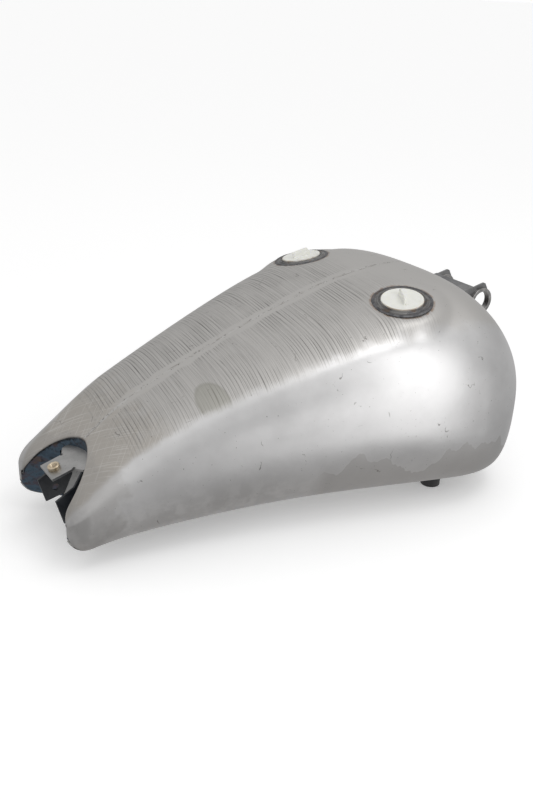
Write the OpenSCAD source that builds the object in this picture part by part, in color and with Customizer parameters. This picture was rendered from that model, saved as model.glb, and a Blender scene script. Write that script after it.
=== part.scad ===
// One-piece stretched motorcycle fuel tank in bare welded sheet steel, as it leaves the maker.
// +X runs forward, +Y to the rider's left and +Z up. Each piece is drawn with x measured from
// the tail and z from the bottom rim. The whole tank is then moved so that its origin is the
// centre of the front mounting bolt's axis.

/* [Tank shell] */
// Length of the shell from tail to nose
tank_l = 602; // [590:1:615]
// Thickness of the sheet steel
sheet_t = 1.5; // [1.2:0.1:2]
// Height of the blunt tail tips
tail_z = 30.5; // [28:0.5:34]
// Half width of the tank across the tail tips
tail_w = 96; // [94:1:98]
// Radius that rounds the outside of each tail tip, seen from above
tip_r = 20; // [14:1:20]
// Length over which the tail rounds off
tail_round = 121; // [110:1:130]
// Height of the blunt nose
nose_z = 120; // [112:1:126]
// Half width of the blunt nose
nose_w = 66; // [62:1:70]
// Length over which the nose rounds off
nose_round = 122; // [112:1:130]
// Width of the ground weld along the top
seam_w = 6; // [4:0.5:8]

/* [Seat notch and frame tunnel] */
// Depth of the notch in the tail
notch_l = 51.5; // [49:0.5:54]
// Half width of the notch at the tail
notch_w = 61; // [58:0.5:62]
// Radius that rounds each notch corner into the tail
notch_corner = 8; // [5:0.5:8]
// How far the notch wall stands back under the skin's edge
notch_lip = 3; // [2:0.5:4]
// Outside width of the frame tunnel
tunnel_w = 80; // [76:1:84]
// Height of the tunnel roof at the notch
roof_z = 64; // [60:1:66]
// Rise of the tunnel roof towards the nose, in degrees
roof_rise = 13.6; // [13:0.1:14]

/* [Filler necks] */
// Distance of the filler necks from the tail
filler_x = 416; // [405:1:425]
// Distance of each filler neck from the centreline
filler_y = 104; // [100:1:108]
// Forward rise of the filler necks, in degrees
filler_pitch = 9.5; // [7:0.5:10.5]
// Outward fall of the filler necks, in degrees
filler_roll = 8; // [7:0.5:10]
// Outside diameter of the weld round each neck
neck_weld_d = 74; // [72:1:76]
// Outside diameter of the neck
neck_d = 66; // [64:1:68]
// Bore of the neck
neck_bore_d = 48.4; // [47:0.2:50]
// Depth of the neck below the skin
neck_depth = 24; // [20:1:28]
// Diameter of the shipping plug's disc
plug_d = 51.2; // [50:0.2:53]

/* [Front mount] */
// Distance of the front bolt axis from the tail
mount_x = 620; // [616:1:624]
// Height of the front bolt axis above the bottom rim
mount_z = 183; // [181:1:184]
// Outside diameter of each bushing ring
ring_d = 38; // [36:1:40]
// Bore of each bushing ring
ring_bore_d = 28; // [26:0.5:30]
// Width of the front bracket over its two ears
bracket_w = 74; // [72:1:75]
// Thickness of the bracket plate
plate_t = 3; // [2.5:0.5:3]

/* [Rear mount] */
// Width of the tongue behind the notch apex
tongue_w = 37; // [34:1:40]
// Distance of the tongue's tip from the tail
tongue_x = 6; // [4:1:8]
// Height of the tongue's tip
tongue_z = 59; // [57:1:61]
// Forward rise of the tongue, in degrees
tongue_rise = 17; // [15:0.5:18]
// Distance of the threaded insert from the tail
insert_x = 16; // [15:0.5:18]
// Bore of the threaded insert
insert_bore_d = 8; // [6:0.5:9]
// Distance between the middles of the two black side tabs
tab_span = 56; // [52:1:60]
// Cross hole in the side tabs
tab_hole_d = 8.4; // [6:0.2:9]

/* [Fuel outlets] */
// Distance of the fuel spigots from the tail
spigot_x = 486; // [480:1:490]
// Distance of each spigot from the centreline
spigot_y = 119; // [110:1:121]
// Outside diameter of a spigot's thread
spigot_d = 22; // [20:0.5:22]
// Outside diameter of the cap on each spigot
cap_d = 25.4; // [24:0.2:26]
// How far each cap hangs below the bottom rim
cap_drop = 26; // [22:1:28]

/* [Hidden] */
$fn = 64;

// The tank's lines, as curve controls at even steps from one step behind the tail to one step
// past the nose: crown height, half width, height of the widest line, half width of the bottom
// rim, and how square the shoulder is (2 is an ellipse)
crown = [27, 77, 127, 172, 209, 240, 248, 236, 218];
flank = [69, 87, 106, 127, 154, 185, 207, 213, 211];
waist = [36, 57, 77, 94, 104, 105, 97, 88, 79];
rim = [71, 70, 68.5, 70, 81, 108, 141, 168, 192];
shoulder = [3.3, 3.4, 3.5, 3.5, 3.5, 3.3, 2.8, 2.3, 1.8];
// How square the turn under the tank is, and how full the notch's outline is
under_turn = 2.4;
notch_fullness = 1.7;
// Steps along the tank, over the upper half of its side, and under it
steps_x = 40;
steps_up = 15;
steps_low = 8;
// Steps round the notch
steps_notch = 36;
// How far cutting shapes run past what they cut
over = 20;
// Gap between a plate's edge and the curved skin that it is welded to
edge_gap = 0.1;

// Radius of each spigot's seat in its floor, and the thickness of the cap's end
spigot_seat_r = 13.5;
cap_end_t = 2;
// Radius of the insert's body in the tongue
insert_body_r = 5.5;

right = -1;
left = 1;
seam_y = seam_w / 2;
sides_n = steps_up + steps_low;

// Smooth curve through the controls c at x
function line_at(c, x) =
  let (
    spans = len(c) - 3,
    t = min(max(x / tank_l, 0), 0.99999) * spans,
    i = floor(t),
    u = t - i
  )
  ((1 - u)^3 * c[i] + (3 * u^3 - 6 * u^2 + 4) * c[i + 1]
    + (-3 * u^3 + 3 * u^2 + 3 * u + 1) * c[i + 2] + u^3 * c[i + 3]) / 6;

// Rises from 0 to 1 like a quarter of a circle as t goes from 0 to 1
function round_end(t) = sqrt(1 - (1 - min(max(t, 0), 1))^2);

// Crown, half width, waist, rim half width and shoulder at x, drawn in by the depth s
function station(x, s) =
  let (
    tail = round_end((x - s) / tail_round),
    nose = round_end((tank_l - s - x) / nose_round),
    top = tail_z - s + (line_at(crown, x) - tail_z) * tail,
    tip = tip_r * (1 - round_end((x - s) / tip_r)),
    wide = tail_w - s - tip + (line_at(flank, x) - tail_w) * tail,
    foot = tail_w - s - tip + (line_at(rim, x) + s - tail_w) * tail,
    mid = tail_z - s + (line_at(waist, x) - tail_z + s) * tail,
    half_w = nose_w - s + (wide - nose_w + s) * nose
  )
  [
    nose_z - s + (top - nose_z + s) * nose,
    half_w,
    mid,
    min(half_w, nose_w + (foot - nose_w) * nose),
    line_at(shoulder, x)
  ];

// Height of the skin at x, y, drawn in by the depth s
function skin_z(x, y, s) =
  let (q = station(x, s))
  q[2] + (q[0] - q[2]) * max(0, 1 - (abs(y) / q[1])^q[4])^(1 / q[4]);

// Left half of the section at x, from the top seam over the shoulder to the bottom rim
function half_section(x, s) =
  let (q = station(x, s), e = 2 / q[4], low = 2 / under_turn, start = asin((seam_y / q[1])^(1 / e)))
  concat(
    [for (k = [0:steps_up]) let (t = start + (90 - start) * k / steps_up)
      [x, q[1] * min(sin(t), 1)^e, q[2] + (q[0] - q[2]) * max(cos(t), 0)^e]],
    [for (k = [1:steps_low]) let (t = 90 * k / steps_low)
      [x, q[3] + (q[1] - q[3]) * max(cos(t), 0)^low, s + (q[2] - s) * (1 - min(sin(t), 1)^low)]]
  );

// Station i of the shell, close together near the two rounded ends
function step_x(i, s) = s + (tank_l - 2 * s) * (1 - cos(180 * i / steps_x)) / 2;

// Two triangles for each cell between a, b (one step along) and d, c (one step across)
function cell(a, b, c, d) = [[a, d, c], [a, c, b]];

// Left half of the shell: outer and inner surfaces joined round the edges, with closed ends
module half_shell() {
  n = sides_n + 1;
  base = n * (steps_x + 1);
  outer = [for (i = [0:steps_x]) each half_section(step_x(i, 0), 0)];
  inner = [for (i = [0:steps_x]) each half_section(step_x(i, sheet_t), sheet_t)];
  tail_out = 2 * base;
  tail_in = tail_out + 1;
  nose_out = tail_out + 2;
  nose_in = tail_out + 3;
  corners = [
    [0, seam_y, 0], [sheet_t, seam_y, sheet_t],
    [tank_l, seam_y, 0], [tank_l - sheet_t, seam_y, sheet_t]
  ];
  last = steps_x * n;
  faces = concat(
    [for (i = [0:steps_x - 1], j = [0:sides_n - 1]) let (a = i * n + j)
      each cell(a, a + n, a + n + 1, a + 1)],
    [for (i = [0:steps_x - 1], j = [0:sides_n - 1]) let (a = base + i * n + j)
      each cell(a + n, a, a + 1, a + n + 1)],
    [for (i = [0:steps_x - 1]) let (a = i * n)
      [a, a + n, base + a + n, base + a]],
    [for (i = [0:steps_x - 1]) let (a = i * n + sides_n)
      each cell(a, a + n, base + a + n, base + a)],
    [concat([for (j = [sides_n:-1:0]) j], [tail_out])],
    [concat([for (j = [0:sides_n]) base + j], [tail_in])],
    [[tail_out, 0, base, tail_in]],
    [[sides_n, tail_out, tail_in, base + sides_n]],
    [concat([for (j = [0:sides_n]) last + j], [nose_out])],
    [concat([for (j = [sides_n:-1:0]) base + last + j], [nose_in])],
    [[last, nose_out, nose_in, base + last]],
    [[nose_out, last + sides_n, base + last + sides_n, nose_in]]
  );
  polyhedron(concat(outer, inner, corners), faces);
}

// Solid that fills the shell to the depth s under its outer surface, open downwards
module inside(s) {
  ring_n = 2 * sides_n + 4;
  points = [for (i = [0:steps_x])
    let (h = half_section(step_x(i, s), s), end = h[sides_n])
    each concat(
      [[end[0], -end[1], -over]],
      [for (j = [sides_n:-1:0]) [h[j][0], -h[j][1], h[j][2]]],
      h,
      [[end[0], end[1], -over]]
    )];
  polyhedron(points, concat(
    [for (i = [0:steps_x - 1], j = [0:ring_n - 1]) let (a = i * ring_n, k = (j + 1) % ring_n)
      each cell(a + j, a + ring_n + j, a + ring_n + k, a + k)],
    [[for (j = [ring_n - 1:-1:0]) j]],
    [[for (j = [0:ring_n - 1]) steps_x * ring_n + j]]
  ));
}

// Strip of constant section swept through rings of points, closed at both ends
module strip(rings) {
  ring_n = len(rings[0]);
  count = len(rings);
  polyhedron([for (r = rings) each r], concat(
    [for (i = [0:count - 2], j = [0:ring_n - 1]) let (a = i * ring_n, k = (j + 1) % ring_n)
      each cell(a + j, a + ring_n + j, a + ring_n + k, a + k)],
    [[for (j = [ring_n - 1:-1:0]) j]],
    [[for (j = [0:ring_n - 1]) (count - 1) * ring_n + j]]
  ));
}

// Extra half width of the notch where its corner rounds into the tail
function corner_flare(x) = notch_corner * (1 - round_end(x / notch_corner));

// Point of the notch outline, grown outwards by g, at the angle a from its apex
function notch_point(g, a) =
  let (e = 2 / notch_fullness, x = (notch_l + g) * max(cos(a), 0)^e)
  [x, sign(a) * ((notch_w + g) * abs(sin(a))^e + corner_flare(x))];

// Upright solid of the notch, grown outwards by g
module notch_block(g) {
  curve = [for (k = [0:steps_notch]) notch_point(g, 180 * k / steps_notch - 90)];
  translate([0, 0, -over])
    linear_extrude(nose_z + 2 * over)
      polygon(concat([[-over, curve[0][1]]], curve, [[-over, curve[steps_notch][1]]]));
}

// Height of the outside of the tunnel roof
function roof_at(x) = roof_z + (x - notch_l) * tan(roof_rise);

// Solid under the tunnel roof, drawn in by the depth s
module tunnel_block(s) {
  drop = s / cos(roof_rise);
  ends = [-over, tank_l + over];
  rotate([90, 0, 0])
    linear_extrude(tunnel_w - 2 * s, center = true)
      polygon([
        [ends[0], -over], [ends[1], -over],
        [ends[1], roof_at(ends[1]) - drop], [ends[0], roof_at(ends[0]) - drop]
      ]);
}

// Places a child on the left (1) or right (-1)
module on_side(side) {
  if (side == left) children(); else mirror([0, 1, 0]) children();
}

// Moves the drawing so that the front bolt axis is the origin
module placed() { translate([-mount_x, 0, -mount_z]) children(); }

// Places a child on the left filler's axis, with z = 0 at the skin
module at_filler() {
  translate([filler_x, filler_y, skin_z(filler_x, filler_y, 0)])
    rotate([-filler_roll, -filler_pitch, 0]) children();
}

// Trims a curved sheet as one surface of small flats; the zeros keep its size
module trimmed() { resize([0, 0, 0]) children(); }

// Side skin: half of the shell, trimmed at the notch and the tunnel, with its filler hole
module skin(side) {
  hole_r = neck_d / 2 + 1;
  on_side(side) trimmed() difference() {
    half_shell();
    notch_block(0);
    tunnel_block(0);
    at_filler() cylinder(r = hole_r, h = 2 * over, center = true);
  }
}

module right_skin() { color("lightslategray") placed() skin(right); }
module left_skin() { color("slategray") placed() skin(left); }

// Ground weld that joins the two skins along the crown
module top_seam_weld() {
  rings = [for (i = [0:steps_x]) let (
      x = step_x(i, 0),
      edge = skin_z(x, seam_y, 0),
      under = skin_z(x, seam_y, sheet_t))
    [[x, -seam_y, under], [x, -seam_y, edge], [x, 0, skin_z(x, 0, 0)],
      [x, seam_y, edge], [x, seam_y, under]]];
  color("gainsboro") placed() trimmed() difference() {
    strip([for (r = rings) if (r[0][0] > notch_l / 2 && r[0][0] < tank_l - sheet_t) r]);
    notch_block(0);
    tunnel_block(0);
  }
}

// Inverted channel that clears the motorcycle's backbone
module frame_tunnel() {
  color("dimgray") placed() trimmed() difference() {
    intersection() {
      inside(sheet_t + edge_gap);
      tunnel_block(0);
      translate([0, -tunnel_w, 0]) cube([tank_l, 2 * tunnel_w, tank_l]);
    }
    tunnel_block(sheet_t);
    notch_block(notch_lip + sheet_t + edge_gap);
  }
}

// Bottom plate of one lobe, between the skin's rim and the tunnel
module tank_floor(side) {
  s = sheet_t + edge_gap;
  edge = [for (i = [0:steps_x]) let (x = step_x(i, s)) [x, station(x, s)[3] - edge_gap]];
  on_side(side) difference() {
    linear_extrude(sheet_t) polygon(concat([[s, 0]], edge, [[tank_l - s, 0]]));
    tunnel_block(0);
    notch_block(notch_lip + sheet_t + edge_gap);
    translate([spigot_x, spigot_y, 0]) cylinder(r = spigot_seat_r, h = 2 * over, center = true);
  }
}

module right_floor() { color("gray") placed() tank_floor(right); }
module left_floor() { color("gray") placed() tank_floor(left); }

// Weld bead under the seam between a floor and its skin
module rim_weld(side) {
  inner = 2.5;
  outer = 1.2;
  depth = 0.9;
  on_side(side) strip([for (i = [1:steps_x - 1]) let (x = step_x(i, 0), y = station(x, 0)[3])
    [[x, y - inner, 0], [x, y + outer, 0], [x, y + outer / 2, -depth], [x, y - inner / 2, -depth]]]);
}

module right_rim_weld() { color("darkgray") placed() rim_weld(right); }
module left_rim_weld() { color("darkgray") placed() rim_weld(left); }

// Upright wall round the seat notch, set back under the skin's edge
module notch_wall() {
  color("steelblue") placed() trimmed() difference() {
    intersection() {
      inside(sheet_t + edge_gap);
      notch_block(notch_lip + sheet_t);
      translate([0, -tail_w, 0]) cube([2 * notch_l, 2 * tail_w, 2 * notch_w]);
    }
    notch_block(notch_lip);
    tunnel_block(0);
  }
}

// Rough bead in the corner between the notch wall and the skin above it
module notch_weld() {
  leg = 2.2;
  near_mouth = 84;
  steps = 28;
  color("midnightblue") placed() strip([for (k = [0:steps]) let (
      a = near_mouth * (2 * k / steps - 1),
      back = notch_point(notch_lip - edge_gap, a),
      front = notch_point(notch_lip - leg, a),
      z = skin_z(back[0], back[1], sheet_t) - edge_gap,
      z_front = skin_z(front[0], front[1], sheet_t) - edge_gap)
    [[back[0], back[1], z], [front[0], front[1], z_front], [back[0], back[1], z - leg]]]);
}

// Machined filler neck: its bore takes the fuel cap, and two grooves ring its face
module filler_neck(side) {
  bore_r = neck_bore_d / 2;
  outer_r = neck_d / 2;
  sleeve_r = bore_r + 5;
  face = 1.6;
  groove = 1;
  on_side(side) at_filler() rotate_extrude() polygon([
    [bore_r, -neck_depth], [bore_r, face], [bore_r + 2.4, face], [bore_r + 3, face - groove],
    [bore_r + 4, face - groove], [bore_r + 4.6, face], [bore_r + 6, face],
    [bore_r + 6.6, face - groove], [outer_r, face - groove], [outer_r, -5], [sleeve_r, -8],
    [sleeve_r, -neck_depth]
  ]);
}

module right_filler_neck() { color("darkslategray") placed() filler_neck(right); }
module left_filler_neck() { color("darkslategray") placed() filler_neck(left); }

// Weld bead round a filler neck
module neck_weld(side) {
  inner_r = neck_d / 2;
  outer_r = neck_weld_d / 2;
  foot = -8;
  on_side(side) at_filler() rotate_extrude() polygon([
    [inner_r, foot], [inner_r, 0.8], [inner_r + 1.5, 1.2], [outer_r - 1, 0.6], [outer_r, -0.8],
    [outer_r, foot]
  ]);
}

module right_neck_weld() { color("black") placed() neck_weld(right); }
module left_neck_weld() { color("black") placed() neck_weld(left); }

// Push-in plastic plug with a finger tab, its tab turned by the angle tab_a
module shipping_plug(side, tab_a) {
  disc_r = plug_d / 2;
  body_r = neck_bore_d / 2 - 0.05;
  wall = 1.8;
  seat = 1.65;
  top = seat + 1.6;
  tail = -10;
  tab = [28, 3, 10];
  sink = 0.5;
  on_side(side) at_filler() {
    rotate_extrude() polygon([
      [0, seat - wall], [body_r - wall, seat - wall], [body_r - wall, tail], [body_r, tail],
      [body_r, seat], [disc_r, seat], [disc_r, top - 0.5], [disc_r - 0.5, top], [0, top]
    ]);
    rotate([0, 0, tab_a]) translate([-tab[0] / 2, -tab[1] / 2, top - sink])
      cube([tab[0], tab[1], tab[2] + sink]);
  }
}

module right_shipping_plug() { color("ivory") placed() shipping_plug(right, -63); }
module left_shipping_plug() { color("ivory") placed() shipping_plug(left, 8); }

// Folded front bracket: a sloping web over two upright ears
module front_bracket() {
  web_front = mount_x - 14;
  web_back = tank_l - 26;
  web_z = mount_z + 22;
  web_rise = 10;
  ear_back = web_back + 5;
  ear_end = ear_back - 50;
  under_roof = 2.2;
  web_at = function (x) web_z - (web_front - x) * tan(web_rise);
  color("dimgray") placed() {
    rotate([90, 0, 0]) linear_extrude(bracket_w, center = true) polygon([
      [web_back, web_at(web_back) - plate_t], [web_front, web_z - plate_t], [web_front, web_z],
      [web_back, web_at(web_back)]
    ]);
    for (side = [right, left])
      translate([0, side * (bracket_w - plate_t) / 2, 0]) difference() {
        rotate([90, 0, 0]) linear_extrude(plate_t, center = true) {
          translate([mount_x, mount_z]) circle(r = ring_d / 2 + 0.5);
          translate([mount_x + 4.5, mount_z + 21]) circle(r = 4);
          polygon([
            [ear_end, roof_at(ear_end) - under_roof], [ear_back, roof_at(ear_back) - under_roof],
            [ear_back, web_at(ear_back) - plate_t], [web_front, web_z - 1],
            [mount_x + 3.5, mount_z + 24.9], [mount_x + 8.2, mount_z + 22.5],
            [mount_x + 14, mount_z + 13], [mount_x, mount_z - ring_d / 2],
            [ear_back, mount_z - 26], [ear_end, mount_z - 36]
          ]);
        }
        translate([mount_x, 0, mount_z]) rotate([90, 0, 0])
          cylinder(d = ring_d, h = 2 * plate_t, center = true);
      }
  }
}

// Steel ring that holds the rubber bushing of the front mount
module bushing_ring(side) {
  inner_end = 32;
  outer_end = 41;
  on_side(side) translate([mount_x, outer_end, mount_z]) rotate([90, 0, 0]) difference() {
    cylinder(d = ring_d, h = outer_end - inner_end);
    translate([0, 0, -1]) cylinder(d = ring_bore_d, h = outer_end - inner_end + 2);
  }
}

module right_bushing_ring() { color("gray") placed() bushing_ring(right); }
module left_bushing_ring() { color("gray") placed() bushing_ring(left); }

// Places a child in the tongue's plane, with x along its slope from its tip
module at_tongue() {
  translate([tongue_x, 0, tongue_z]) rotate([0, -tongue_rise, 0]) children();
}

function along_tongue(x) = (x - tongue_x) / cos(tongue_rise);

// Rear mounting plate: a tongue that widens into the notch apex
module rear_tongue() {
  half = tongue_w / 2;
  neck_x = 27;
  root = 60;
  relief_r = 2;
  color("silver") placed() difference() {
    intersection() {
      at_tongue() translate([0, 0, -plate_t]) linear_extrude(plate_t) difference() {
        polygon([
          [0, -half], [neck_x, -half], [neck_x + 6, -half - 12], [root, -half - 14],
          [root, half + 14], [neck_x + 6, half + 12], [neck_x, half], [0, half]
        ]);
        for (side = [right, left]) translate([neck_x, side * half]) circle(r = relief_r, $fn = 24);
      }
      notch_block(notch_lip - edge_gap);
    }
    at_tongue() translate([along_tongue(insert_x), 0, 0])
      cylinder(r = insert_body_r, h = over, center = true);
  }
}

// Threaded insert pressed into the tongue
module threaded_insert() {
  flange_r = 7;
  proud = 4.5;
  length = 15;
  color("goldenrod") placed() at_tongue() translate([along_tongue(insert_x), 0, 0]) difference() {
    union() {
      cylinder(r = flange_r, h = proud);
      translate([0, 0, proud - length]) cylinder(r = insert_body_r, h = length);
    }
    translate([0, 0, -length]) cylinder(d = insert_bore_d, h = 2 * length);
  }
}

// Black side tab that hangs from the rear tongue and takes the cross bolt
module side_tab(side) {
  hole = [26, 22];
  on_side(side) translate([0, tab_span / 2, 0]) rotate([90, 0, 0]) difference() {
    linear_extrude(plate_t, center = true) polygon([
      [5, 36], [13.5, 6], [36.5, 11.5], [47, 34.5], [46, under_tongue(46)],
      [37, under_tongue(37)], [26.5, 48]
    ]);
    translate([hole[0], hole[1], 0]) cylinder(d = tab_hole_d, h = over, center = true);
  }
}

// Height of the tongue's underside at x
function under_tongue(x) =
  tongue_z + (x - tongue_x) * tan(tongue_rise) - plate_t / cos(tongue_rise) - edge_gap / 2;

module right_side_tab() { color([0.12, 0.13, 0.15]) placed() side_tab(right); }
module left_side_tab() { color([0.12, 0.13, 0.15]) placed() side_tab(left); }

// Threaded spigot for the fuel valve, welded into a floor
module fuel_spigot(side) {
  bore_r = 8;
  flange_r = 16;
  flange_t = 3.5;
  end = cap_drop - cap_end_t;
  on_side(side) translate([spigot_x, spigot_y, 0]) rotate_extrude() polygon([
    [bore_r, -end], [spigot_d / 2, -end], [spigot_d / 2, -2], [spigot_seat_r, -2],
    [spigot_seat_r, sheet_t], [flange_r, sheet_t], [flange_r, sheet_t + flange_t],
    [bore_r, sheet_t + flange_t]
  ]);
}

module right_fuel_spigot() { color("silver") placed() fuel_spigot(right); }
module left_fuel_spigot() { color("silver") placed() fuel_spigot(left); }

// Black protective cap that pulls down off a spigot
module spigot_cap(side) {
  grip_r = spigot_d / 2 + 0.05;
  outer_r = cap_d / 2;
  edge = 0.6;
  mouth = -2.5;
  floor_z = cap_end_t - cap_drop - 0.05;
  on_side(side) translate([spigot_x, spigot_y, 0]) rotate_extrude() polygon([
    [0, -cap_drop], [outer_r - edge, -cap_drop], [outer_r, edge - cap_drop], [outer_r, mouth],
    [grip_r, mouth], [grip_r, floor_z], [0, floor_z]
  ]);
}

module right_spigot_cap() { color("black") placed() spigot_cap(right); }
module left_spigot_cap() { color("black") placed() spigot_cap(left); }

right_skin();
left_skin();
top_seam_weld();
frame_tunnel();
right_floor();
left_floor();
right_rim_weld();
left_rim_weld();
notch_wall();
notch_weld();
right_filler_neck();
left_filler_neck();
right_neck_weld();
left_neck_weld();
right_shipping_plug();
left_shipping_plug();
front_bracket();
right_bushing_ring();
left_bushing_ring();
rear_tongue();
threaded_insert();
right_side_tab();
left_side_tab();
right_fuel_spigot();
left_fuel_spigot();
right_spigot_cap();
left_spigot_cap();
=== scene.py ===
import math

import bmesh
import bpy
import numpy as np
from mathutils import Matrix, Vector, noise


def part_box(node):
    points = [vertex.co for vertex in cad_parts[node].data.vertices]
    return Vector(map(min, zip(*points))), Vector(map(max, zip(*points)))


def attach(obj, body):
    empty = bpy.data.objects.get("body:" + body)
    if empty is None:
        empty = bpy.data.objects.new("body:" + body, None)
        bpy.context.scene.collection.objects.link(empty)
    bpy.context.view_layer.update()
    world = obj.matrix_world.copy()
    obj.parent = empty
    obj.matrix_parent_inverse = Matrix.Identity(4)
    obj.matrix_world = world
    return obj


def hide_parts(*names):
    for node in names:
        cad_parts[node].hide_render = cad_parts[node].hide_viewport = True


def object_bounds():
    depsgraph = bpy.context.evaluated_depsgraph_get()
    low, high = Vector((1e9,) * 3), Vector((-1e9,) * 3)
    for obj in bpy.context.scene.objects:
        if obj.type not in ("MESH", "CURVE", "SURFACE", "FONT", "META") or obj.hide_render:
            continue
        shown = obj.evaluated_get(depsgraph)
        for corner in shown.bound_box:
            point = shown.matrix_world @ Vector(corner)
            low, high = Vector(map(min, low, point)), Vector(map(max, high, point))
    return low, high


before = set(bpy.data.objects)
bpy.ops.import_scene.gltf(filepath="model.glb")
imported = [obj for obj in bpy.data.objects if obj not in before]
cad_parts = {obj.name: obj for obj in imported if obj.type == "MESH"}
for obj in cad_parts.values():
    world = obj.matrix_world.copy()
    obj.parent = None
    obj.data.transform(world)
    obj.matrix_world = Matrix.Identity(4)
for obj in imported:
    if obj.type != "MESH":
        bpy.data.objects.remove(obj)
cad_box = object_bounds()

# Camera: stands behind the tank and to its right, a metre off and looking down on the crown, as
# a painter sees a bare tank on the bench. It comes first because all lighting is set for it.
camera_data = bpy.data.cameras.new("bench_camera")
camera_data.lens = 41.16
camera_data.sensor_width = 36.0
camera = bpy.data.objects.new("bench_camera", camera_data)
bpy.context.scene.collection.objects.link(camera)
camera_place = (-0.9159, -0.8756, 0.3806)
look_right = math.radians(34.2)
look_down = math.radians(24.27)
lean = math.radians(2.66)
camera.matrix_world = (
    Matrix.Translation(camera_place)
    @ Matrix.Rotation(-look_right, 4, "Z")
    @ Matrix.Rotation(math.pi / 2 - look_down, 4, "X")
    @ Matrix.Rotation(lean, 4, "Z")
)
bpy.context.scene.camera = camera
bpy.context.scene.view_settings.view_transform = "Standard"

# Studio: a pale floor at the height of the lowest cap, one tall soft light on the tank's right,
# a weaker one overhead, and a white room that the bare steel sees as grey.
floor_mesh = bpy.data.meshes.new("studio_floor")
reach = 150.0
floor_z = cad_box[0][2]
floor_mesh.from_pydata(
    [(-reach, -reach, floor_z), (reach, -reach, floor_z), (reach, reach, floor_z), (-reach, reach, floor_z)],
    [], [(0, 1, 2, 3)],
)
studio_floor = bpy.data.objects.new("studio_floor", floor_mesh)
bpy.context.scene.collection.objects.link(studio_floor)
studio_floor.visible_glossy = False
studio_floor.visible_shadow = False
floor_paint = bpy.data.materials.new("pale_floor")
floor_paint.use_nodes = True
floor_shader = floor_paint.node_tree.nodes["Principled BSDF"]
floor_shader.inputs["Base Color"].default_value = (0.93, 0.93, 0.93, 1)
floor_shader.inputs["Roughness"].default_value = 0.9
floor_shader.inputs["Specular IOR Level"].default_value = 0.1
floor_shader.inputs["Emission Color"].default_value = (1, 1, 1, 1)
floor_shader.inputs["Emission Strength"].default_value = 0.24
floor_mesh.materials.append(floor_paint)


def soft_light(name, place, aim, width, height, watts):
    """A softbox of that size at place, turned to face aim."""
    data = bpy.data.lights.new(name, "AREA")
    data.shape = "RECTANGLE"
    data.size = width
    data.size_y = height
    data.energy = watts
    lamp = bpy.data.objects.new(name, data)
    bpy.context.scene.collection.objects.link(lamp)
    lamp.matrix_world = Matrix.Translation(place) @ (
        Vector(aim) - Vector(place)
    ).to_track_quat("-Z", "Y").to_matrix().to_4x4()
    lamp.visible_camera = False


soft_light("side_softbox", (0.0, -1.25, 0.18), (-0.16, 0, -0.06), 0.46, 2.0, 4.3)
soft_light("high_softbox", (0.05, -0.66, 1.63), (-0.2, 0, 0), 1.0, 0.5, 3.2)
soft_light("fill_softbox", (-1.1, -1.4, 0.4), (-0.3, 0, 0), 1.2, 1.2, 0.4)

room = bpy.data.worlds.new("white_room")
bpy.context.scene.world = room
room.use_nodes = True
sky = room.node_tree
sky.nodes.clear()
sky_out = sky.nodes.new("ShaderNodeOutputWorld")
sky_mix = sky.nodes.new("ShaderNodeMixShader")
sky_seen = sky.nodes.new("ShaderNodeBackground")
sky_seen.inputs["Color"].default_value = (1, 1, 1, 1)
sky_seen.inputs["Strength"].default_value = 1.0
sky_cast = sky.nodes.new("ShaderNodeBackground")
sky_way = sky.nodes.new("ShaderNodeTexCoord")
sky_split = sky.nodes.new("ShaderNodeSeparateXYZ")
sky_height = sky.nodes.new("ShaderNodeMapRange")
sky_height.inputs["From Min"].default_value = -1
sky_shades = sky.nodes.new("ShaderNodeValToRGB")
shades = sky_shades.color_ramp.elements
shades[0].position = 0.0
shades[0].color = (0.44, 0.43, 0.42, 1)
shades[1].position = 1.0
shades[1].color = (1.0, 1.0, 1.0, 1)
for height, level in ((0.22, 0.42), (0.4, 0.56), (0.6, 0.58), (0.85, 0.74)):
    shade = shades.new(height)
    shade.color = (level, level, level, 1)
sky_path = sky.nodes.new("ShaderNodeLightPath")
sky.links.new(sky_way.outputs["Generated"], sky_split.inputs[0])
sky.links.new(sky_split.outputs["Z"], sky_height.inputs["Value"])
sky.links.new(sky_height.outputs[0], sky_shades.inputs["Fac"])
sky.links.new(sky_shades.outputs[0], sky_cast.inputs["Color"])
sky.links.new(sky_path.outputs["Is Camera Ray"], sky_mix.inputs["Fac"])
sky.links.new(sky_cast.outputs[0], sky_mix.inputs[1])
sky.links.new(sky_seen.outputs[0], sky_mix.inputs[2])
sky.links.new(sky_mix.outputs[0], sky_out.inputs["Surface"])

# Side skins: the tank's body is two halves of 1.5 mm bare steel, drawn on a press and stretched
# rearwards into two legs beside the seat notch. Their edge at the notch is rolled under, and
# each has a round hole for its filler neck.
MM = 0.001
tank_low, tank_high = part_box("right_skin")
tail_x = tank_low.x
base_z = tank_low.z
tank_l = (tank_high.x - tank_low.x) / MM
sheet_t = 1.5
tail_z, tail_w, tip_r, tail_round = 30.5, 96, 20, 121
nose_z, nose_w, nose_round = 120, 66, 122
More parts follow.
